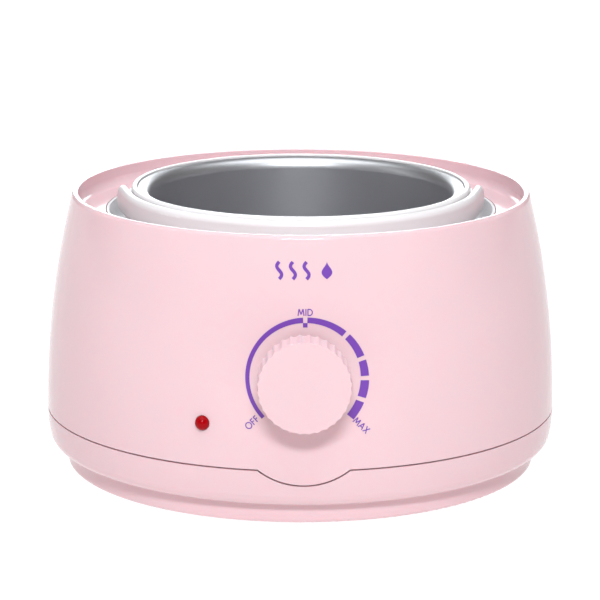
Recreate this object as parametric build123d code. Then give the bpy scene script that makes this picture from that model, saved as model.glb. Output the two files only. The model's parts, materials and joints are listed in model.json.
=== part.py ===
from build123d import *
import os
from math import asin, cos, degrees, radians, sin, sqrt, tan

# A wax warmer pot, in millimetres. The origin is on the body's axis, on the surface that the feet stand on.
# +Z is up, the control knob faces -Y, and +X is to the right of someone who faces the knob.

# Casing: one large arc for the flank, a smaller one under it, and a tight heel above the plinth
BODY_R = 95.4            # the widest radius
WIDEST_Z = 21.0
FLANK_ARC_R = 330.0
LOWER_ARC_R = 40.0
HEEL_R = 5.5
HEEL_ANGLE = 11.85       # degrees below level where the heel takes over from the lower arc
WALL = 2.4
RIM_Z = 103.3
RIM_ROUND = 1.5
BASIN_R = 82.9           # the recess inside the rim
BASIN_FILLET = 3.0
DECK_Z = 96.5
DECK_HOLE_R = 72.8

# The seam between the upper housing and the base, with a tongue at the front
SEAM_Z = 22.2
SEAM_GAP = 0.6
TONGUE_R = 26.7
TONGUE_DROP = 5.4
SPIGOT_R = 92.5          # a ring on the base that centres the upper housing
SPIGOT_TOP_Z = 25.4

# Base
FOOT_STAND = 1.0         # the feet hold the plinth this far up
PLINTH_R = 88.0
FLOOR_TOP_Z = 7.4
FOOT_R = 7.0
FOOT_RING_R = 72.0
FOOT_TURNS = (45, 135, 225, 315)
SCREW_RING_R = 79.5
SCREW_TURNS = (20, 160, 200, 340)
TOWER_R = 4.0
PILLAR_R = 5.2
TOWER_FOOT_Z = 24.0
SCREW_SEAT_Z = 20.6

# Heating well and what holds it under the deck
WELL_MOUTH_R = 71.4
WELL_R = 59.0
WELL_STEP_Z = 88.5
WELL_FLOOR_Z = 29.7
SHEET = 1.0              # thickness of the well and of the pot
FLANGE_R = 74.7
FLANGE_Z = 91.2
CLAMP_RING_BOTTOM_Z = 90.0
CLAMP_EAR_R = 3.2
CLAMP_EAR_RING_R = 78.8

# Heater band on the well
BAND_LOW_Z = 42.0
BAND_HIGH_Z = 74.0
BAND_THICK = 2.0
BAND_GAP = 10.0
STRAP_THICK = 0.6
STRAP_LOW_Z = 50.0
STRAP_HIGH_Z = 66.0
TERMINAL_TURNS = (75, 105)
TERMINAL_TOP_Z = 79.0
FUSE_R = 1.9
FUSE_LENGTH = 11.0
FUSE_X = -62.8
FUSE_Z = 79.0

# Pot, its collar and its handle
POT_R = 56.3             # inside
POT_FLOOR_Z = 31.0       # inside
POT_FILLET = 6.0
FLARE_R = 4.0
FLARE_Z = 100.6
POT_LIP_R = 60.5
COLLAR_INNER_R = 60.9
COLLAR_R = 63.0
COLLAR_TOP_Z = 105.3
COLLAR_BOTTOM_Z = 93.5
PIVOT_Z = 99.5
PIN_R = 2.0
PIN_BORE_R = 2.06
EAR_R = 4.0
EAR_END_X = 63.8
BAIL_R = 63.7            # inside the strap, where it follows the collar
BAIL_ARM_TURN = 12       # degrees before the pivots where the strap's arc becomes straight arms
BAIL_THICK = 2.9
BAIL_HALF_HEIGHT = 5.0
BAIL_INNER_EDGE = 0.6
BAIL_OUTER_EDGE = 2.2

# Knob and thermostat, on one level axis
DIAL_Z = 54.9
KNOB_R = 16.3
KNOB_FRONT_Y = -106.6
KNOB_BACK_Y = -95.7
KNOB_EDGE = 0.45
KNOB_LOBES = 32
KNOB_FLUTE_DEPTH = 0.5
SHAFT_R = 3.0
SHAFT_BORE_R = 3.05
PLATE_FRONT_Y = -84.0
PLATE_THICK = 1.0
THERMOSTAT_SCREW_X = 13.0
BLOCK_X = 10.0           # half width of the thermostat's body
BLOCK_Z = 11.0           # half height
BLOCK_DEPTH = 9.0
TAB_LENGTH = 8.0

# Indicator lamp
LAMP_TURN = -21.8        # degrees about Z from the front
LAMP_Z = 37.7
LENS_R = 2.6

# Cord entry and terminal block, at the back of the base
CORD_Z = 16.0
CORD_BORE_R = 3.3
GLAND_NECK_R = 4.3
GLAND_FLANGE_R = 5.0
GLAND_PAD_Y = 96.2
GLAND_PAD_BACK_Y = 90.2
CLAMP_Y = 80.0
CLAMP_POST_X = 8.0
CLAMP_SEAT_Z = 18.9
TERMINAL_BLOCK_Y = (55.0, 67.0)
WIRE_R = 0.9


# Shared shapes

def disc(radius, low_z, high_z):
    return Pos(0, 0, (low_z + high_z) / 2) * Cylinder(radius, high_z - low_z)


def tube(inner_r, outer_r, low_z, high_z):
    return disc(outer_r, low_z, high_z) - disc(inner_r, low_z, high_z)


def rod_y(radius, low_y, high_y, x=0.0, z=0.0):
    return Pos(x, (low_y + high_y) / 2, z) * Rot(90, 0, 0) * Cylinder(radius, high_y - low_y)


def rod_x(radius, low_x, high_x, y=0.0, z=0.0):
    return Pos((low_x + high_x) / 2, y, z) * Rot(0, 90, 0) * Cylinder(radius, high_x - low_x)


def block(low, high):
    size = [h - l for l, h in zip(low, high)]
    middle = [(l + h) / 2 for l, h in zip(low, high)]
    return Pos(*middle) * Box(*size)


def turned(degrees_about_z, shape):
    return Rot(0, 0, degrees_about_z) * shape


def spin(*edges):
    """The solid that a closed outline of (radius, height) edges sweeps round the body's axis."""
    return revolve(Plane.XZ * make_face(Curve() + list(edges)), Axis.Z)


def group(shapes):
    """Separate solids kept together as one node."""
    return Part() + list(shapes)


def screw(shank_r, length, head_r, head_height):
    """A pan-head screw, seated at the origin, with its shank along +Z and a cross recess in its head."""
    body = disc(shank_r, 0, length) + disc(head_r, -head_height, 0)
    body = chamfer(body.edges().sort_by(Axis.Z)[-1], shank_r * 0.6)
    recess = Box(head_r * 1.2, head_r * 0.25, head_height) + Box(head_r * 0.25, head_r * 1.2, head_height)
    return body - Pos(0, 0, -head_height) * recess


# Casing

def casing(inset, top_z):
    """Everything inside the casing's outer surface, moved in by inset, from the heel's crease to top_z."""
    lower_centre = (BODY_R - LOWER_ARC_R, WIDEST_Z)
    reach = LOWER_ARC_R - HEEL_R
    heel_centre = (
        lower_centre[0] + reach * cos(radians(HEEL_ANGLE)),
        WIDEST_Z - reach * sin(radians(HEEL_ANGLE)),
    )
    flank_centre = (BODY_R - FLANK_ARC_R, WIDEST_Z)
    flank_r = FLANK_ARC_R - inset
    top_angle = degrees(asin((top_z - WIDEST_Z) / flank_r))
    top_r = flank_centre[0] + flank_r * cos(radians(top_angle))
    crease_z = heel_centre[1] - HEEL_R + inset
    return spin(
        Line((0, crease_z), (heel_centre[0], crease_z)),
        CenterArc(heel_centre, HEEL_R - inset, -90, 90 - HEEL_ANGLE),
        CenterArc(lower_centre, LOWER_ARC_R - inset, -HEEL_ANGLE, HEEL_ANGLE),
        CenterArc(flank_centre, flank_r, 0, top_angle),
        Line((top_r, top_z), (0, top_z)),
        Line((0, top_z), (0, crease_z)),
    )


def tongue_region(gap):
    """The round region at the front where the upper housing reaches below the seam."""
    centre_z = SEAM_Z - TONGUE_DROP + TONGUE_R
    return rod_y(TONGUE_R + gap, -2 * BODY_R, 0, z=centre_z)


def screw_towers():
    towers = []
    for turn in SCREW_TURNS:
        tower = Pos(SCREW_RING_R, 0, 0) * disc(TOWER_R, TOWER_FOOT_Z, DECK_Z - WALL / 2)
        rib = block((SCREW_RING_R, -0.8, TOWER_FOOT_Z + 3), (BODY_R, 0.8, DECK_Z - WALL / 2))
        pilot = Pos(SCREW_RING_R, 0, 0) * disc(1.55, TOWER_FOOT_Z - 1, TOWER_FOOT_Z + 15)
        towers.append(turned(turn, tower + rib - pilot))
    return group(towers)


def deck_bosses():
    bosses = []
    for turn in FOOT_TURNS:
        boss = disc(CLAMP_EAR_R, FLANGE_Z, DECK_Z - WALL / 2) - disc(1.25, FLANGE_Z - 1, FLANGE_Z + 3.2)
        bosses.append(turned(turn, Pos(CLAMP_EAR_RING_R, 0, 0) * boss))
    return group(bosses)


def thermostat_pillars():
    pillars = []
    for x in (-THERMOSTAT_SCREW_X, THERMOSTAT_SCREW_X):
        pillar = rod_y(3.0, -92.0, PLATE_FRONT_Y, x, DIAL_Z)
        pilot = rod_y(1.05, -90.0, PLATE_FRONT_Y + 1, x, DIAL_Z)
        pillars.append(pillar - pilot)
    return group(pillars)


def upper_housing():
    body = casing(0, RIM_Z)
    body = fillet(body.edges().sort_by(Axis.Z)[-1], RIM_ROUND)
    basin = disc(BASIN_R, DECK_Z, RIM_Z + 10)
    basin = fillet(basin.edges().sort_by(Axis.Z)[0], BASIN_FILLET)
    fittings = (screw_towers() + deck_bosses() + thermostat_pillars()) & casing(WALL / 2, DECK_Z)
    shell = body - basin - casing(WALL, DECK_Z - WALL) + fittings
    shell -= disc(DECK_HOLE_R, DECK_Z - 2 * WALL, RIM_Z)
    lip = shell.edges().filter_by(GeomType.CIRCLE).filter_by(lambda e: abs(e.radius - BASIN_R) < 0.01)
    shell = fillet(lip.sort_by(Axis.Z)[-1], 0.4)
    above_seam = block((-100, -100, SEAM_Z + SEAM_GAP / 2), (100, 100, RIM_Z + 5))
    shell &= above_seam + tongue_region(-SEAM_GAP / 2)
    shell -= rod_y(4.8, -100, -85, z=DIAL_Z)
    shell -= turned(LAMP_TURN, rod_y(LENS_R + 0.1, -100, -85, z=LAMP_Z))
    return shell


def base_pillars():
    pillars = []
    for turn in SCREW_TURNS:
        pillar = Pos(SCREW_RING_R, 0, 0) * disc(PILLAR_R, FLOOR_TOP_Z - WALL, TOWER_FOOT_Z)
        pillars.append(turned(turn, pillar))
    return group(pillars)


def base_holes():
    """Screw holes with deep counterbores, foot stem holes and the vent slots."""
    holes = []
    for turn in SCREW_TURNS:
        hole = disc(1.9, 0, TOWER_FOOT_Z + 1) + disc(3.7, 0, SCREW_SEAT_Z)
        holes.append(turned(turn, Pos(SCREW_RING_R, 0, 0) * hole))
    for turn in FOOT_TURNS:
        holes.append(turned(turn, Pos(FOOT_RING_R, 0, 0) * disc(2.0, 0, 2 * FLOOR_TOP_Z)))
    for side in (-1, 1):
        for step in range(-3, 4):
            slot = extrude(SlotOverall(24, 2.6), 2 * FLOOR_TOP_Z)
            holes.append(Pos(side * 26, step * 6.0, 0) * slot)
    return group(holes)


def base_shell():
    plinth = disc(PLINTH_R, FOOT_STAND, 10)
    plinth = fillet(plinth.edges().sort_by(Axis.Z)[0], 1.5)
    base = casing(0, SEAM_Z - SEAM_GAP / 2) + plinth
    base -= casing(WALL, SEAM_Z + 5)
    base -= disc(PLINTH_R - WALL, FLOOR_TOP_Z, 12)
    base -= disc(PLINTH_R - WALL, 0, FLOOR_TOP_Z - WALL)
    base += tube(SPIGOT_R - 1.8, SPIGOT_R, 11.5, SPIGOT_TOP_Z)
    base += base_pillars()
    for turn in FOOT_TURNS:
        foot_ring = tube(FOOT_R + 0.2, FOOT_R + 1.8, 2.4, FLOOR_TOP_Z - WALL)
        base += turned(turn, Pos(FOOT_RING_R, 0, 0) * foot_ring)
    for x in (-CLAMP_POST_X, CLAMP_POST_X):
        post = disc(2.8, FLOOR_TOP_Z - 0.5, CLAMP_SEAT_Z) - disc(1.05, FLOOR_TOP_Z + 2, CLAMP_SEAT_Z + 1)
        base += Pos(x, CLAMP_Y, 0) * post
    base += block((-9, GLAND_PAD_BACK_Y, 9.6), (9, GLAND_PAD_Y, 21.4))
    base -= base_holes()
    base -= rod_y(GLAND_NECK_R + 0.1, GLAND_PAD_BACK_Y - 5, 100, z=CORD_Z)
    notch = tongue_region(SEAM_GAP / 2) - disc(SPIGOT_R + 0.05, 0, RIM_Z)
    return base - notch


def rubber_feet():
    feet = []
    for turn in FOOT_TURNS:
        pad = disc(FOOT_R, 0, FLOOR_TOP_Z - WALL)
        pad = fillet(pad.edges().sort_by(Axis.Z)[0], 0.7)
        stem = disc(1.9, 4, FLOOR_TOP_Z) + disc(2.7, FLOOR_TOP_Z, FLOOR_TOP_Z + 1.2)
        feet.append(turned(turn, Pos(FOOT_RING_R, 0, 0) * (pad + stem)))
    return group(feet)


def base_screws():
    one = screw(1.5, 15.0, 3.2, 2.0)
    return group(turned(turn, Pos(SCREW_RING_R, 0, SCREW_SEAT_Z) * one) for turn in SCREW_TURNS)


# Heating well

def heating_well():
    inside = make_face(Polyline(
        (0, WELL_FLOOR_Z), (WELL_R, WELL_FLOOR_Z), (WELL_R, WELL_STEP_Z - 2), (WELL_R + 2, WELL_STEP_Z),
        (WELL_MOUTH_R, WELL_STEP_Z), (WELL_MOUTH_R, DECK_Z + 5), (0, DECK_Z + 5), (0, WELL_FLOOR_Z)))
    floor_corner = inside.vertices().filter_by(lambda v: abs(v.X - WELL_R) < 0.1 and v.Y < WELL_FLOOR_Z + 1)
    step_corner = inside.vertices().filter_by(lambda v: v.X > WELL_MOUTH_R - 1 and v.Y < WELL_STEP_Z + 1)
    inside = fillet(floor_corner, 6.0)
    inside = fillet(step_corner, 2.0)
    outside = offset(inside, SHEET)
    keep = Pos(50, DECK_Z / 2) * Rectangle(100, DECK_Z)
    wall = (outside - inside) & keep
    well = revolve(Plane.XZ * wall, Axis.Z)
    return well + tube(WELL_MOUTH_R + SHEET / 2, FLANGE_R, FLANGE_Z, FLANGE_Z + SHEET)


def well_seal():
    return tube(WELL_MOUTH_R + SHEET + 0.3, FLANGE_R, FLANGE_Z + SHEET, DECK_Z - WALL)


def well_clamp_ring():
    ring = tube(WELL_MOUTH_R + SHEET + 0.6, FLANGE_R + 0.3, CLAMP_RING_BOTTOM_Z, FLANGE_Z)
    for turn in FOOT_TURNS:
        ear = Pos(CLAMP_EAR_RING_R, 0, 0) * disc(CLAMP_EAR_R, CLAMP_RING_BOTTOM_Z, FLANGE_Z)
        neck_low = (FLANGE_R - 0.5, -CLAMP_EAR_R, CLAMP_RING_BOTTOM_Z)
        neck = block(neck_low, (CLAMP_EAR_RING_R, CLAMP_EAR_R, FLANGE_Z))
        hole = Pos(CLAMP_EAR_RING_R, 0, 0) * disc(1.4, 0, RIM_Z)
        ring += turned(turn, ear + neck)
        ring -= turned(turn, hole)
    return ring


def well_screws():
    one = screw(1.2, 4.0, 2.6, 1.5)
    return group(
        turned(turn, Pos(CLAMP_EAR_RING_R, 0, CLAMP_RING_BOTTOM_Z) * one) for turn in FOOT_TURNS)


# Heater

def heater_band():
    inner = WELL_R + SHEET + 0.1
    band = tube(inner, inner + BAND_THICK, BAND_LOW_Z, BAND_HIGH_Z)
    return band - block((-BAND_GAP / 2, 0, 0), (BAND_GAP / 2, BODY_R, RIM_Z))


def strap_inner_r():
    return WELL_R + SHEET + 0.1 + BAND_THICK + 0.1


def heater_clamp_band():
    inner = strap_inner_r()
    strap = tube(inner, inner + STRAP_THICK, STRAP_LOW_Z, STRAP_HIGH_Z)
    strap -= block((-4, 0, 0), (4, BODY_R, RIM_Z))
    for side in (-1, 1):
        ear = block((3.4, inner, STRAP_LOW_Z), (4.2, inner + 8, STRAP_HIGH_Z))
        ear -= rod_x(2.1, 0, 10, inner + 5, (STRAP_LOW_Z + STRAP_HIGH_Z) / 2)
        strap += ear if side > 0 else mirror(ear, Plane.YZ)
    return strap


def heater_clamp_bolt():
    y = strap_inner_r() + 5
    z = (STRAP_LOW_Z + STRAP_HIGH_Z) / 2
    head = Pos(5.6, y, z) * Rot(0, 90, 0) * extrude(RegularPolygon(3.9, 6), 1.4, both=True)
    nut = Pos(-5.8, y, z) * Rot(0, 90, 0) * extrude(RegularPolygon(3.9, 6), 1.6, both=True)
    nut -= rod_x(2.05, -12, 0, y, z)
    return group([head + rod_x(2.0, -9.5, 5, y, z), nut])


def heater_terminals():
    r = WELL_R + SHEET + 0.1
    tab = block((r + 0.6, -2.0, BAND_HIGH_Z), (r + 1.4, 2.0, TERMINAL_TOP_Z))
    return group(turned(turn, tab) for turn in TERMINAL_TURNS)


def thermal_fuse():
    fuse = rod_y(FUSE_R, -FUSE_LENGTH / 2, FUSE_LENGTH / 2, FUSE_X, FUSE_Z)
    return chamfer(fuse.edges(), 0.5)


def fuse_clip():
    clip = rod_y(FUSE_R + 0.6, -2.5, 2.5, FUSE_X, FUSE_Z)
    clip += block((FUSE_X + FUSE_R, -2.5, FUSE_Z), (FUSE_X + FUSE_R + 0.7, 2.5, FUSE_Z + 6))
    return clip - rod_y(FUSE_R + 0.02, -5, 5, FUSE_X, FUSE_Z)


# Thermostat and knob

def thermostat_body():
    y = PLATE_FRONT_Y + PLATE_THICK
    body = block((-BLOCK_X, y, DIAL_Z - BLOCK_Z), (BLOCK_X, y + BLOCK_DEPTH, DIAL_Z + BLOCK_Z))
    body = chamfer(body.edges().filter_by(Axis.Y), 1.5)
    return body - rod_y(SHAFT_R + 0.3, y - 1, y + BLOCK_DEPTH - 2, z=DIAL_Z)


def thermostat_plate():
    plate = block((-17, PLATE_FRONT_Y, DIAL_Z - 8), (17, PLATE_FRONT_Y + PLATE_THICK, DIAL_Z + 8))
    plate = fillet(plate.edges().filter_by(Axis.Y), 2.0)
    plate -= rod_y(4.6, -90, -80, z=DIAL_Z)
    for x in (-THERMOSTAT_SCREW_X, THERMOSTAT_SCREW_X):
        plate -= rod_y(1.3, -90, -80, x, DIAL_Z)
    return plate


def thermostat_bush():
    bush = rod_y(4.5, -92.4, PLATE_FRONT_Y + PLATE_THICK, z=DIAL_Z)
    return bush - rod_y(SHAFT_BORE_R, -95, -80, z=DIAL_Z)


def thermostat_screws():
    one = Rot(90, 0, 0) * screw(1.0, 5.5, 2.2, 1.4)
    seat_y = PLATE_FRONT_Y + PLATE_THICK
    return group(Pos(x, seat_y, DIAL_Z) * one for x in (-THERMOSTAT_SCREW_X, THERMOSTAT_SCREW_X))


def thermostat_terminals():
    tabs = []
    for side in (-1, 1):
        near = DIAL_Z + side * BLOCK_Z
        far = near + side * TAB_LENGTH
        tabs.append(block((-3.1, -79.0, min(near, far)), (3.1, -78.2, max(near, far))))
    return group(tabs)


def thermostat_bimetal():
    y = PLATE_FRONT_Y + PLATE_THICK + BLOCK_DEPTH
    strip = block((-3, y + 0.8, DIAL_Z - 9), (3, y + 1.4, DIAL_Z + 9))
    return strip + rod_y(1.8, y, y + 2.2, z=DIAL_Z + 6)


def thermostat_shaft():
    shaft = rod_y(SHAFT_R, -105.0, -77.0, z=DIAL_Z)
    flat = block((-5, -110, DIAL_Z + SHAFT_R - 1.2), (5, -97, DIAL_Z + 5))
    return shaft - flat


def control_knob():
    depth = KNOB_BACK_Y - KNOB_FRONT_Y
    knob = disc(KNOB_R, 0, depth)
    knob = fillet(knob.edges().sort_by(Axis.Z)[-1], KNOB_EDGE)
    flute_r = 2.4
    flute = Pos(KNOB_R + flute_r - KNOB_FLUTE_DEPTH, 0, 0) * disc(flute_r, -1, depth + 1)
    knob -= group(turned(360 / KNOB_LOBES * n, flute) for n in range(KNOB_LOBES))
    knob -= disc(KNOB_R - 2.2, -1, depth - 2.2) - disc(5.6, -1, depth)
    bore = disc(SHAFT_R + 0.04, -1, 9.4) - block((-5, SHAFT_R - 1.16, 1.3), (5, 5, 10))
    knob -= bore
    knob -= tube(4.4, 5.7, 1.0, 3.0)
    return Pos(0, KNOB_BACK_Y, DIAL_Z) * Rot(90, 0, 0) * knob


def knob_spring_clip():
    ring = tube(4.45, 5.4, 1.1, 2.9) - block((-1.2, -7, 0), (1.2, 0, 5))
    return Pos(0, KNOB_BACK_Y, DIAL_Z) * Rot(90, 0, 0) * ring


# Indicator lamp, built facing the front and then turned to its place

def indicator_lens():
    shank = rod_y(LENS_R, -95.0, -84.5, z=LAMP_Z)
    dome = Pos(0, -94.9, LAMP_Z) * Sphere(LENS_R)
    flange = rod_y(3.8, -92.0, -90.8, z=LAMP_Z)
    lens = shank + dome + flange - rod_y(2.1, -93.6, -80, z=LAMP_Z)
    return turned(LAMP_TURN, lens)


def indicator_lamp():
    bulb = rod_y(1.9, -92.0, -82.0, z=LAMP_Z)
    tip = Pos(0, -92.0, LAMP_Z) * Sphere(1.5)
    return turned(LAMP_TURN, bulb + tip)


def lamp_retainer():
    washer = rod_y(5.2, -90.7, -89.9, z=LAMP_Z) - rod_y(LENS_R + 0.02, -95, -80, z=LAMP_Z)
    return turned(LAMP_TURN, washer)


def lamp_resistor():
    body = rod_y(1.3, -80.0, -73.5, z=LAMP_Z)
    lead = rod_y(0.4, -82.0, -80.0, z=LAMP_Z)
    return turned(LAMP_TURN, body + lead)


# Cord entry and wiring

def cord_gland():
    gland = rod_y(GLAND_NECK_R, GLAND_PAD_BACK_Y - 1.8, GLAND_PAD_Y + 2.0, z=CORD_Z)
    gland += rod_y(GLAND_FLANGE_R, GLAND_PAD_Y, GLAND_PAD_Y + 2.0, z=CORD_Z)
    gland += rod_y(GLAND_FLANGE_R, GLAND_PAD_BACK_Y - 1.8, GLAND_PAD_BACK_Y, z=CORD_Z)
    gland = fillet(gland.edges().sort_by(Axis.Y)[-1], 0.8)
    return gland - rod_y(CORD_BORE_R, 80, 105, z=CORD_Z)


def cord_clamp():
    bar = block((-11.5, CLAMP_Y - 3.5, CLAMP_SEAT_Z), (11.5, CLAMP_Y + 3.5, CLAMP_SEAT_Z + 2.5))
    bar = fillet(bar.edges().filter_by(Axis.Z), 2.5)
    for x in (-CLAMP_POST_X, CLAMP_POST_X):
        bar -= Pos(x, CLAMP_Y, 0) * disc(1.3, 0, RIM_Z)
    return bar


def clamp_screws():
    one = Rot(180, 0, 0) * screw(1.0, 9.0, 2.3, 1.5)
    seat_z = CLAMP_SEAT_Z + 2.5
    return group(Pos(x, CLAMP_Y, seat_z) * one for x in (-CLAMP_POST_X, CLAMP_POST_X))


def terminal_block():
    near, far = TERMINAL_BLOCK_Y
    body = block((-10, near, FLOOR_TOP_Z), (10, far, FLOOR_TOP_Z + 12))
    body = chamfer(body.edges().group_by(Axis.Z)[-1], 1.0)
    for x in (-5, 5):
        body -= rod_y(1.8, near - 1, far + 1, x, 13.4)
        body -= Pos(x, (near + far) / 2, 0) * disc(2.2, 13.4, 25)
    return body


def terminal_screws():
    near, far = TERMINAL_BLOCK_Y
    one = disc(2.1, 15.4, 18.6) - block((-3, -0.3, 17.8), (3, 0.3, 19))
    return group(Pos(x, (near + far) / 2, 0) * one for x in (-5, 5))


def wire(points, bends):
    """A round wire of straight runs joined by arcs."""
    path = FilletPolyline(*points, radius=bends)
    start = Plane(origin=path @ 0, z_dir=path % 0)
    return sweep(start * Circle(WIRE_R), path)


def wire_live():
    points = [(-5, 58, 13.4), (-5, 36, 14), (-10, -30, 15), (-5, -66, 18), (0, -78.6, 26), (0, -78.6, 35.8)]
    return wire(points, [12, 25, 12, 6])


def wire_neutral():
    points = [(5, 58, 13.4), (5, 44, 14), (24, 50, 18), (33, 63, 32), (33, 63, 78), (22, 64, 84.6),
              (17, 61, 84), (15.9, 59.5, 79.1)]
    return wire(points, [5, 6, 8, 5, 2.0, 1.6])


def wire_thermostat_fuse():
    points = [(0, -78.6, 74.0), (0, -78.6, 81), (-14, -74, 85), (-42, -60, 84), (-58, -36, 81),
              (-62.8, -18, 79), (FUSE_X, -FUSE_LENGTH / 2 - 0.1, FUSE_Z)]
    return wire(points, [3, 8, 14, 12, 8])


def wire_fuse_heater():
    points = [(FUSE_X, FUSE_LENGTH / 2 + 0.1, FUSE_Z), (-62.8, 18, 79), (-54, 42, 82), (-36, 60, 84.4),
              (-20, 63.5, 84.6), (-16.4, 61, 83.4), (-15.9, 59.5, 79.1)]
    return wire(points, [8, 12, 10, 1.8, 1.4])


def lamp_leads():
    side = sin(radians(LAMP_TURN))
    forward = -cos(radians(LAMP_TURN))
    points = [(73.3 * side, 73.3 * forward, LAMP_Z), (67.5 * side, 67.5 * forward, LAMP_Z), (-24, -62, 14),
              (-16, -20, 12), (-14, 30, 12), (-13, 54, 12)]
    return wire(points, [2.5, 5, 12, 12])


# Pot, collar and handle

def wax_pot():
    corner = POT_R - POT_FILLET
    corner_z = POT_FLOOR_Z + POT_FILLET
    flare_centre = (POT_R + FLARE_R, FLARE_Z)
    lip_z = FLARE_Z + FLARE_R
    under_z = lip_z - SHEET
    return spin(
        Line((0, POT_FLOOR_Z), (corner, POT_FLOOR_Z)),
        CenterArc((corner, corner_z), POT_FILLET, -90, 90),
        Line((POT_R, corner_z), (POT_R, FLARE_Z)),
        CenterArc(flare_centre, FLARE_R, 180, -90),
        Line((flare_centre[0], lip_z), (POT_LIP_R, lip_z)),
        Line((POT_LIP_R, lip_z), (POT_LIP_R, under_z)),
        Line((POT_LIP_R, under_z), (flare_centre[0], under_z)),
        CenterArc(flare_centre, FLARE_R - SHEET, 90, 90),
        Line((POT_R + SHEET, FLARE_Z), (POT_R + SHEET, corner_z)),
        CenterArc((corner, corner_z), POT_FILLET + SHEET, 0, -90),
        Line((corner, POT_FLOOR_Z - SHEET), (0, POT_FLOOR_Z - SHEET)),
        Line((0, POT_FLOOR_Z - SHEET), (0, POT_FLOOR_Z)),
    )


def pot_collar():
    flare_centre = (POT_R + FLARE_R, FLARE_Z)
    seat_r = FLARE_R - SHEET - 0.2
    seat_z = FLARE_Z + seat_r
    shelf_z = FLARE_Z - 1.8
    shelf_r = flare_centre[0] - seat_r
    outer_round = 1.3
    inner_round = 0.4
    ring = spin(
        Line((shelf_r, shelf_z), (shelf_r, FLARE_Z)),
        CenterArc(flare_centre, seat_r, 180, -90),
        Line((flare_centre[0], seat_z), (COLLAR_INNER_R, seat_z)),
        Line((COLLAR_INNER_R, seat_z), (COLLAR_INNER_R, COLLAR_TOP_Z - inner_round)),
        CenterArc((COLLAR_INNER_R + inner_round, COLLAR_TOP_Z - inner_round), inner_round, 180, -90),
        Line((COLLAR_INNER_R + inner_round, COLLAR_TOP_Z), (COLLAR_R - outer_round, COLLAR_TOP_Z)),
        CenterArc((COLLAR_R - outer_round, COLLAR_TOP_Z - outer_round), outer_round, 90, -90),
        Line((COLLAR_R, COLLAR_TOP_Z - outer_round), (COLLAR_R, COLLAR_BOTTOM_Z)),
        Line((COLLAR_R, COLLAR_BOTTOM_Z), (COLLAR_R - 2.0, COLLAR_BOTTOM_Z)),
        Line((COLLAR_R - 2.0, COLLAR_BOTTOM_Z), (COLLAR_R - 2.0, shelf_z)),
        Line((COLLAR_R - 2.0, shelf_z), (shelf_r, shelf_z)),
    )
    for side in (0, 180):
        ear = rod_x(EAR_R, COLLAR_R - 1.2, EAR_END_X, 0, PIVOT_Z)
        bore = rod_x(PIN_BORE_R, COLLAR_R - 1.4, EAR_END_X + 1, 0, PIVOT_Z)
        ring += turned(side, ear)
        ring -= turned(side, bore)
    return ring


def bail_section():
    """The strap's cross-section, at the pivots' height: nearly square inside, well rounded outside."""
    outer_r = BAIL_R + BAIL_THICK
    high = BAIL_HALF_HEIGHT
    small, large = BAIL_INNER_EDGE, BAIL_OUTER_EDGE
    outline = Curve() + [
        Line((BAIL_R, -high + small), (BAIL_R, high - small)),
        CenterArc((BAIL_R + small, high - small), small, 180, -90),
        Line((BAIL_R + small, high), (outer_r - large, high)),
        CenterArc((outer_r - large, high - large), large, 90, -90),
        Line((outer_r, high - large), (outer_r, -high + large)),
        CenterArc((outer_r - large, -high + large), large, 0, -90),
        Line((outer_r - large, -high), (BAIL_R + small, -high)),
        CenterArc((BAIL_R + small, -high + small), small, -90, -90),
    ]
    return Plane.XZ * make_face(outline)


def bail_arm():
    """One straight arm, with the round end that holds its pivot pin."""
    middle_r = BAIL_R + BAIL_THICK / 2
    length = middle_r * tan(radians(BAIL_ARM_TURN))
    bar = extrude(bail_section(), length, dir=(0, 1, 0))
    end = rod_x(BAIL_HALF_HEIGHT, BAIL_R, BAIL_R + BAIL_THICK, y=length)
    rims = end.edges().filter_by(GeomType.CIRCLE).sort_by(Axis.X)
    end = fillet(rims[-1], BAIL_OUTER_EDGE)
    end = fillet(end.edges().filter_by(GeomType.CIRCLE).sort_by(Axis.X)[0], BAIL_INNER_EDGE)
    pin = rod_x(PIN_R, COLLAR_R - 1.2, middle_r + 0.5)
    return turned(-BAIL_ARM_TURN, bar + end) + pin


def bail_handle():
    """A strap that lies round the front of the collar between its two pivots."""
    arc = revolve(bail_section(), Axis.Z, revolution_arc=180 - 2 * BAIL_ARM_TURN)
    arc = turned(BAIL_ARM_TURN - 180, arc)
    arm = bail_arm()
    strap = arc + arm + mirror(arm, about=Plane.YZ)
    return Pos(0, 0, PIVOT_Z) * strap


NODES = (
    upper_housing, base_shell, rubber_feet, base_screws,
    heating_well, well_seal, well_clamp_ring, well_screws,
    heater_band, heater_clamp_band, heater_clamp_bolt, heater_terminals, thermal_fuse, fuse_clip,
    thermostat_body, thermostat_plate, thermostat_bush, thermostat_screws, thermostat_terminals,
    thermostat_bimetal, thermostat_shaft, control_knob, knob_spring_clip,
    indicator_lens, indicator_lamp, lamp_retainer, lamp_resistor,
    cord_gland, cord_clamp, clamp_screws, terminal_block, terminal_screws,
    wire_live, wire_neutral, wire_thermostat_fuse, wire_fuse_heater, lamp_leads,
    wax_pot, pot_collar, bail_handle,
)

os.makedirs("parts", exist_ok=True)
for make_node in NODES:
    export_step(make_node(), f"parts/{make_node.__name__}.step")
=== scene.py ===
import json
from math import cos, pi, radians, sin, sqrt

import bmesh
import bpy
from mathutils import Matrix, Vector


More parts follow.
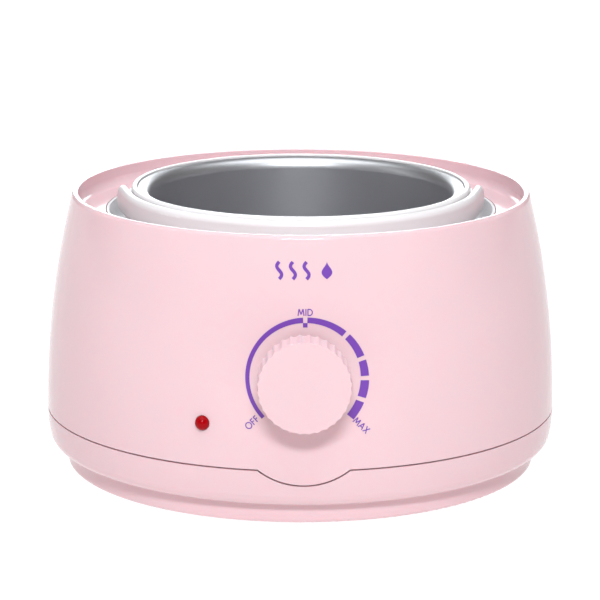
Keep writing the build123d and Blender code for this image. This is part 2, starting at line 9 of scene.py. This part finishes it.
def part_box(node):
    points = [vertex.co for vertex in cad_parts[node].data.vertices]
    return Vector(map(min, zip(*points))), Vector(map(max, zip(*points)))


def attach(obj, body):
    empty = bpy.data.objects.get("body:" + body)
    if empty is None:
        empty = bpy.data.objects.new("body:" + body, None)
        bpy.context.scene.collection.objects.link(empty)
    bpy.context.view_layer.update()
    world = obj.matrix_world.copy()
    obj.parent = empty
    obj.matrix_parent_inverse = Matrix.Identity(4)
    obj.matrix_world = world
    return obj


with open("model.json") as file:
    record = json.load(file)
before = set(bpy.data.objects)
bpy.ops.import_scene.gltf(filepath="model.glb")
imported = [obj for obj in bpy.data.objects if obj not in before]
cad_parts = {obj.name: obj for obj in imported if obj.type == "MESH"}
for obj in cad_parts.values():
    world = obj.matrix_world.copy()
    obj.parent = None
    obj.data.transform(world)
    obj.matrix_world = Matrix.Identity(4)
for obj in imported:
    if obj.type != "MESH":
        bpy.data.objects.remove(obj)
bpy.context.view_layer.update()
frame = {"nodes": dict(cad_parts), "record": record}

MM = 0.001


# The casing's outer surface, from the frame's size and its driving arcs

HOUSING_LOW, HOUSING_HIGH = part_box("upper_housing")
BODY_R = (HOUSING_HIGH.x - HOUSING_LOW.x) / 2
RIM_Z = HOUSING_HIGH.z
WIDEST_Z = 21 * MM
FLANK_ARC_R = 330 * MM
DIAL_Z = frame["record"]["behaviour"]["joints"][0]["pos_m"][2]


def flank_radius(z):
    return BODY_R - FLANK_ARC_R + sqrt(FLANK_ARC_R ** 2 - (z - WIDEST_Z) ** 2)


def on_front(x, z, lift):
    """The point of the front wall at x and z, lifted off it."""
    r = flank_radius(z) + lift
    return Vector((x, -sqrt(r * r - x * x), z))


# Camera

CAMERA_TARGET = Vector((0, 0, 60.67 * MM))
CAMERA_DISTANCE = 1.0547
CAMERA_ELEVATION = radians(13.32)
CAMERA_TURN = radians(0.8)
CAMERA_ROLL = 0.0032
SENSOR_WIDTH = 36.0
LENS = 168.2
SHIFT_X = -0.001


def make_camera():
    flat = CAMERA_DISTANCE * cos(CAMERA_ELEVATION)
    height = CAMERA_DISTANCE * sin(CAMERA_ELEVATION)
    place = CAMERA_TARGET + Vector((-flat * sin(CAMERA_TURN), -flat * cos(CAMERA_TURN), height))
    data = bpy.data.cameras.new("camera")
    data.sensor_width = SENSOR_WIDTH
    data.lens = LENS
    data.shift_x = SHIFT_X
    data.clip_start = 0.05
    data.clip_end = 20
    camera = bpy.data.objects.new("camera", data)
    bpy.context.scene.collection.objects.link(camera)
    aim = (CAMERA_TARGET - place).to_track_quat("-Z", "Y").to_matrix().to_4x4()
    camera.matrix_world = Matrix.Translation(place) @ aim @ Matrix.Rotation(CAMERA_ROLL, 4, "Z")
    bpy.context.scene.camera = camera


# Materials

def new_material(name, color, roughness, **inputs):
    """A principled material. Other inputs are given by their socket names, with underscores for spaces."""
    material = bpy.data.materials.new(name)
    material.use_nodes = True
    shader = material.node_tree.nodes["Principled BSDF"]
    shader.inputs["Base Color"].default_value = (*color, 1)
    shader.inputs["Roughness"].default_value = roughness
    for key, value in inputs.items():
        shader.inputs[key.replace("_", " ")].default_value = value
    return material


def add(material, kind, **values):
    node = material.node_tree.nodes.new(kind)
    for key, value in values.items():
        node.inputs[key.replace("_", " ")].default_value = value
    return node


def link(material, source, target):
    material.node_tree.links.new(source, target)


def shader_of(material):
    return material.node_tree.nodes["Principled BSDF"]


def object_point(material, stretch=(1, 1, 1)):
    """Object coordinates, in metres, stretched along each axis."""
    place = add(material, "ShaderNodeTexCoord")
    mapping = add(material, "ShaderNodeMapping", Scale=stretch)
    link(material, place.outputs["Object"], mapping.inputs["Vector"])
    return mapping.outputs["Vector"]


def noise(material, scale, detail=2.0, stretch=(1, 1, 1)):
    node = add(material, "ShaderNodeTexNoise", Scale=scale, Detail=detail)
    link(material, object_point(material, stretch), node.inputs["Vector"])
    return node.outputs["Fac"]


def vary_color(material, scale, dark, light):
    """Two close colours, mixed by soft noise."""
    ramp = material.node_tree.nodes.new("ShaderNodeValToRGB")
    ramp.color_ramp.elements[0].position = 0.35
    ramp.color_ramp.elements[1].position = 0.65
    ramp.color_ramp.elements[0].color = (*dark, 1)
    ramp.color_ramp.elements[1].color = (*light, 1)
    link(material, noise(material, scale), ramp.inputs["Fac"])
    link(material, ramp.outputs["Color"], shader_of(material).inputs["Base Color"])


def vary_roughness(material, scale, low, high, stretch=(1, 1, 1)):
    spread = add(material, "ShaderNodeMapRange", To_Min=low, To_Max=high)
    link(material, noise(material, scale, 3.0, stretch), spread.inputs["Value"])
    link(material, spread.outputs["Result"], shader_of(material).inputs["Roughness"])


def add_bump(material, scale, depth, detail=2.0, stretch=(1, 1, 1)):
    """Noise relief of a depth in metres."""
    bump = add(material, "ShaderNodeBump", Strength=1.0, Distance=depth)
    link(material, noise(material, scale, detail, stretch), bump.inputs["Height"])
    link(material, bump.outputs["Normal"], shader_of(material).inputs["Normal"])


def moulded(name, dark, light, roughness, waviness=0.004 * MM, specular=0.5):
    """Moulded plastic: nearly even in colour, with faint flow waves and slight changes of gloss."""
    material = new_material(name, light, roughness, Specular_IOR_Level=specular)
    vary_color(material, 14, dark, light)
    vary_roughness(material, 60, roughness - 0.03, roughness + 0.04)
    add_bump(material, 420, waviness, 1.0)
    return material


GLOW_WEIGHT = 0.25
GLOW_SPREAD = (1.0, 0.3, 0.25)
GLOW_DEPTH = 2.5 * MM


def glow_under(material):
    """Light that enters the plastic and comes out a little way off, redder."""
    shader = shader_of(material)
    shader.inputs["Subsurface Weight"].default_value = GLOW_WEIGHT
    shader.inputs["Subsurface Radius"].default_value = GLOW_SPREAD
    shader.inputs["Subsurface Scale"].default_value = GLOW_DEPTH


def metal(name, color, roughness, grain_scale, grain_stretch, depth):
    """Metal with a directional grain."""
    material = new_material(name, color, roughness, Metallic=1.0)
    vary_roughness(material, grain_scale, roughness - 0.06, roughness + 0.08, grain_stretch)
    add_bump(material, grain_scale, depth, 3.0, grain_stretch)
    return material


def make_materials():
    pink_dark, pink_light = (0.76, 0.525, 0.56), (0.78, 0.54, 0.575)
    made = {
        "pink_plastic": moulded("pink_plastic", pink_dark, pink_light, 0.12, specular=0.18),
        "knob_plastic": moulded("knob_plastic", pink_dark, pink_light, 0.45, specular=0.3),
        "white_plastic": moulded("white_plastic", (0.82, 0.775, 0.785), (0.84, 0.795, 0.805), 0.3),
        "block_plastic": moulded("block_plastic", (0.66, 0.65, 0.6), (0.74, 0.73, 0.68), 0.45),
        "wire_insulation": moulded("wire_insulation", (0.6, 0.58, 0.5), (0.72, 0.7, 0.64), 0.7, 0.03 * MM),
        "gland_rubber": moulded("gland_rubber", pink_dark, pink_light, 0.45),
        "foot_rubber": moulded("foot_rubber", (0.018, 0.018, 0.018), (0.03, 0.03, 0.03), 0.75, 0.02 * MM),
        "seal_rubber": moulded("seal_rubber", (0.5, 0.12, 0.06), (0.58, 0.16, 0.09), 0.6, 0.02 * MM),
        "heater_mica": moulded("heater_mica", (0.38, 0.32, 0.22), (0.55, 0.48, 0.36), 0.5, 0.03 * MM),
        "thermostat_ceramic": moulded("thermostat_ceramic", (0.72, 0.7, 0.64), (0.8, 0.78, 0.72), 0.6),
        "fuse_ceramic": moulded("fuse_ceramic", (0.62, 0.56, 0.44), (0.7, 0.64, 0.52), 0.35),
        "pot_aluminium": metal("pot_aluminium", (0.62, 0.61, 0.635), 0.4, 300, (1, 1, 12), 0.004 * MM),
        "well_metal": metal("well_metal", (0.9, 0.9, 0.91), 0.68, 260, (1, 1, 10), 0.006 * MM),
        "steel": metal("steel", (0.55, 0.55, 0.57), 0.3, 500, (1, 1, 1), 0.006 * MM),
        "brass": metal("brass", (0.68, 0.5, 0.2), 0.28, 500, (1, 1, 1), 0.006 * MM),
        "red_lens": new_material("red_lens", (0.34, 0.0, 0.003), 0.08, Specular_IOR_Level=0.12),
        "lamp_glass": new_material("lamp_glass", (0.9, 0.75, 0.7), 0.05, Transmission_Weight=0.9),
        "ink": moulded("ink", (0.16, 0.05, 0.36), (0.175, 0.056, 0.39), 0.3, specular=0.3),
    }
    for name in ("pink_plastic", "knob_plastic"):
        glow_under(made[name])
    vary_roughness(made["red_lens"], 300, 0.05, 0.11)
    vary_roughness(made["lamp_glass"], 300, 0.03, 0.08)
    return made


def paint_nodes(materials):
    slots = {part["node"]: part["material_slot"] for part in frame["record"]["subparts"]}
    for name, node in frame["nodes"].items():
        node.data.materials.clear()
        node.data.materials.append(materials[slots[name]])


# Printed marks: thin closed slabs of ink that follow the wall

INK_LIFT = 0.06 * MM
INK_SUNK = -0.05 * MM


def piece_from(name, build, material, body):
    """Makes a mesh object by calling build on a new bmesh, and rides it on a body."""
    mesh = bpy.data.meshes.new(name)
    shape = bmesh.new()
    build(shape)
    bmesh.ops.remove_doubles(shape, verts=shape.verts, dist=1e-7)
    bmesh.ops.recalc_face_normals(shape, faces=shape.faces)
    shape.to_mesh(mesh)
    shape.free()
    mesh.materials.append(material)
    piece = bpy.data.objects.new(name, mesh)
    bpy.context.scene.collection.objects.link(piece)
    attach(piece, body)
    return piece


def add_slab(shape, rows):
    """A closed slab under a grid of (x, z) rows on the wall."""
    layers = []
    for lift in (INK_LIFT, INK_SUNK):
        layers.append([[shape.verts.new(on_front(x, z, lift)) for x, z in row] for row in rows])
    top, bottom = layers
    last_row, last_column = len(rows) - 1, len(rows[0]) - 1
    for i in range(last_row):
        for j in range(last_column):
            for layer in layers:
                shape.faces.new((layer[i][j], layer[i + 1][j], layer[i + 1][j + 1], layer[i][j + 1]))
    for i in range(last_row):
        for j in (0, last_column):
            shape.faces.new((top[i][j], top[i + 1][j], bottom[i + 1][j], bottom[i][j]))
    for j in range(last_column):
        for i in (0, last_row):
            shape.faces.new((top[i][j], top[i][j + 1], bottom[i][j + 1], bottom[i][j]))


def add_stroke(shape, points, width):
    """A slab of even width along a line of (x, z) points."""
    rows = []
    for i, (x, z) in enumerate(points):
        x0, z0 = points[max(i - 1, 0)]
        x1, z1 = points[min(i + 1, len(points) - 1)]
        length = sqrt((x1 - x0) ** 2 + (z1 - z0) ** 2)
        across = Vector((-(z1 - z0), x1 - x0)) * (width / 2 / length)
        rows.append([(x + across.x, z + across.y), (x, z), (x - across.x, z - across.y)])
    add_slab(shape, rows)


DIAL_X = 0.35 * MM
DIAL_R = 19.2 * MM
OFF_ANGLE = 223.5
MAX_ANGLE = -41.0
DIAL_GAPS = (90.0, 46.5, 18.4, -0.8, -21.3)
DIAL_GAP = 1.5 * MM
TICK_LENGTH = 1.5 * MM
TICK_WIDTH = 1.55 * MM


def dial_width(angle):
    """The band grows from a fine line at OFF to a broad band at MAX."""
    share = (OFF_ANGLE - angle) / (OFF_ANGLE - MAX_ANGLE)
    return min(3.05, 1.4 + 2.2 * share ** 2.2) * MM


def dial_point(angle, r):
    return DIAL_X + r * cos(radians(angle)), DIAL_Z + r * sin(radians(angle))


def build_dial(shape):
    half_gap = DIAL_GAP / 2 / (DIAL_R + 1.2 * MM) * 180 / pi
    starts = [OFF_ANGLE] + [gap - half_gap for gap in DIAL_GAPS]
    ends = [gap + half_gap for gap in DIAL_GAPS] + [MAX_ANGLE]
    for start, end in zip(starts, ends):
        steps = max(4, round(abs(start - end) / 1.5))
        rows = []
        for step in range(steps + 1):
            angle = start + (end - start) * step / steps
            width = dial_width(angle)
            rows.append([dial_point(angle, DIAL_R + width * part) for part in (0, 0.5, 1)])
        add_slab(shape, rows)
    tick_high = DIAL_Z + DIAL_R
    add_stroke(shape, [(DIAL_X, tick_high), (DIAL_X, tick_high - TICK_LENGTH)], TICK_WIDTH)


def arc_points(x, z, radius_x, radius_z, start, end, steps=14):
    angles = [radians(start + (end - start) * n / steps) for n in range(steps + 1)]
    return [(x + radius_x * cos(a), z + radius_z * sin(a)) for a in angles]


# Plain capital letters, as strokes in a cell one unit high
LETTERS = {
    "O": (0.98, [arc_points(0.49, 0.5, 0.45, 0.47, 0, 360, 28)]),
    "F": (0.5, [[(0.06, 0), (0.06, 1)], [(0.06, 0.95), (0.48, 0.95)], [(0.06, 0.52), (0.44, 0.52)]]),
    "M": (0.98, [[(0.04, 0), (0.19, 1)], [(0.19, 1), (0.49, 0.2)],
                 [(0.49, 0.2), (0.79, 1)], [(0.79, 1), (0.94, 0)]]),
    "I": (0.14, [[(0.07, 0), (0.07, 1)]]),
    "D": (0.78, [[(0.06, 0), (0.06, 1)],
                 [(0.06, 0.95), (0.3, 0.95)]
                 + arc_points(0.3, 0.5, 0.42, 0.45, 90, -90, 16)[1:] + [(0.06, 0.05)]]),
    "A": (0.8, [[(0.03, 0), (0.4, 1)], [(0.4, 1), (0.77, 0)], [(0.17, 0.34), (0.63, 0.34)]]),
    "X": (0.72, [[(0.04, 0), (0.68, 1)], [(0.68, 0), (0.04, 1)]]),
}
CAP_HEIGHT = 2.3 * MM
LETTER_GAP = 0.17
STROKE = 0.36 * MM


def build_word(shape, word, x, z, turn):
    """A word centred on (x, z), turned anticlockwise by turn degrees."""
    total = sum(LETTERS[c][0] for c in word) + LETTER_GAP * (len(word) - 1)
    pen = -total / 2
    c, s = cos(radians(turn)), sin(radians(turn))
    for letter in word:
        advance, strokes = LETTERS[letter]
        for points in strokes:
            placed = []
            for u, v in points:
                across, up = (pen + u) * CAP_HEIGHT, (v - 0.5) * CAP_HEIGHT
                placed.append((x + across * c - up * s, z + across * s + up * c))
            add_stroke(shape, placed, STROKE)
        pen += advance + LETTER_GAP


def build_labels(shape):
    build_word(shape, "MID", DIAL_X, DIAL_Z + DIAL_R + 3.6 * MM, 0)
    build_word(shape, "OFF", -18.0 * MM, DIAL_Z - 15.7 * MM, 45)
    build_word(shape, "MAX", 19.9 * MM, DIAL_Z - 16.8 * MM, -45)


MARK_Z = 91.8 * MM
WAVE_COUNT = 3
WAVE_FIRST_X, WAVE_PITCH = -8.6, 4.7
WAVE_SWING = 0.85 * MM
WAVE_HEIGHT = 5.8 * MM
WAVE_WIDTH = 1.15 * MM
WAVE_STEPS = 16
DROP_X = 7.8 * MM
DROP_R = 2.5 * MM
DROP_TOP = 3.2 * MM
DROP_HEIGHT = 6.2 * MM
DROP_STEPS = 24


def wave_points(x):
    turns = [step / WAVE_STEPS for step in range(WAVE_STEPS + 1)]
    return [(x + WAVE_SWING * sin(2 * pi * t), MARK_Z + (t - 0.5) * WAVE_HEIGHT) for t in turns]


def build_mark(shape):
    """A generic mark over the dial: rising warmth, three waves beside a drop."""
    for n in range(WAVE_COUNT):
        add_stroke(shape, wave_points((WAVE_FIRST_X + WAVE_PITCH * n) * MM), WAVE_WIDTH)
    rows = []
    for step in range(DROP_STEPS + 1):
        t = step / DROP_STEPS
        half = DROP_R * sin(pi * t) * sin(pi * t / 2) ** 1.2
        height = MARK_Z + DROP_TOP - t * DROP_HEIGHT
        rows.append([(DROP_X - half, height), (DROP_X, height), (DROP_X + half, height)])
    add_slab(shape, rows)


def make_print(materials):
    for name, build in (("dial_band", build_dial), ("dial_words", build_labels), ("front_mark", build_mark)):
        piece_from(name, build, materials["ink"], "housing")


# Floor and light

WORLD_FRONT = 0.24
WORLD_BACK = 0.15
FLOOR_HALF = 15.0
FLOOR_GLOW = 0.93
SOFTBOX_COLOR = (0.93, 0.985, 1.0)


def make_floor():
    mesh = bpy.data.meshes.new("floor")
    corners = [(x * FLOOR_HALF, y * FLOOR_HALF, 0) for x, y in ((-1, -1), (1, -1), (1, 1), (-1, 1))]
    mesh.from_pydata(corners, [], [(0, 1, 2, 3)])
    material = new_material("floor", (0.15, 0.15, 0.15), 0.6,
                            Emission_Color=(1, 1, 1, 1), Emission_Strength=FLOOR_GLOW)
    vary_roughness(material, 6, 0.55, 0.65)
    mesh.materials.append(material)
    floor = bpy.data.objects.new("floor", mesh)
    bpy.context.scene.collection.objects.link(floor)


def make_world():
    """Even light all round, a little brighter in front than behind."""
    world = bpy.data.worlds.new("world")
    bpy.context.scene.world = world
    world.use_nodes = True
    nodes, links = world.node_tree.nodes, world.node_tree.links
    place = nodes.new("ShaderNodeTexCoord")
    parts = nodes.new("ShaderNodeSeparateXYZ")
    spread = nodes.new("ShaderNodeMapRange")
    spread.interpolation_type = "SMOOTHSTEP"
    spread.inputs["From Min"].default_value = 0.0
    spread.inputs["From Max"].default_value = 0.6
    spread.inputs["To Min"].default_value = WORLD_FRONT
    spread.inputs["To Max"].default_value = WORLD_BACK
    links.new(place.outputs["Generated"], parts.inputs["Vector"])
    links.new(parts.outputs["Y"], spread.inputs["Value"])
    links.new(spread.outputs["Result"], nodes["Background"].inputs["Strength"])
    nodes["Background"].inputs["Color"].default_value = (1, 1, 1, 1)
    bpy.context.scene.view_settings.view_transform = "Standard"


def add_softbox(name, place, size, radiance, target=(0, 0, 0.06)):
    data = bpy.data.lights.new(name, "AREA")
    data.shape = "RECTANGLE"
    data.size, data.size_y = size
    data.color = SOFTBOX_COLOR
    data.energy = radiance * pi * size[0] * size[1]
    light = bpy.data.objects.new(name, data)
    light.location = place
    light.rotation_euler = (Vector(target) - Vector(place)).to_track_quat("-Z", "Y").to_euler()
    bpy.context.scene.collection.objects.link(light)


def make_lights():
    add_softbox("key", (0.0, -1.26, 0.98), (0.5, 0.2), 52)
    add_softbox("overhead", (0.0, -0.1, 1.5), (1.6, 1.4), 2.2)
    add_softbox("left_strip", (-1.2, -0.08, 0.3), (0.42, 1.4), 0.7)
    add_softbox("back", (0.0, 1.6, 0.42), (1.0, 0.5), 5.5)


make_camera()
all_materials = make_materials()
paint_nodes(all_materials)
make_print(all_materials)
make_floor()
make_world()
make_lights()
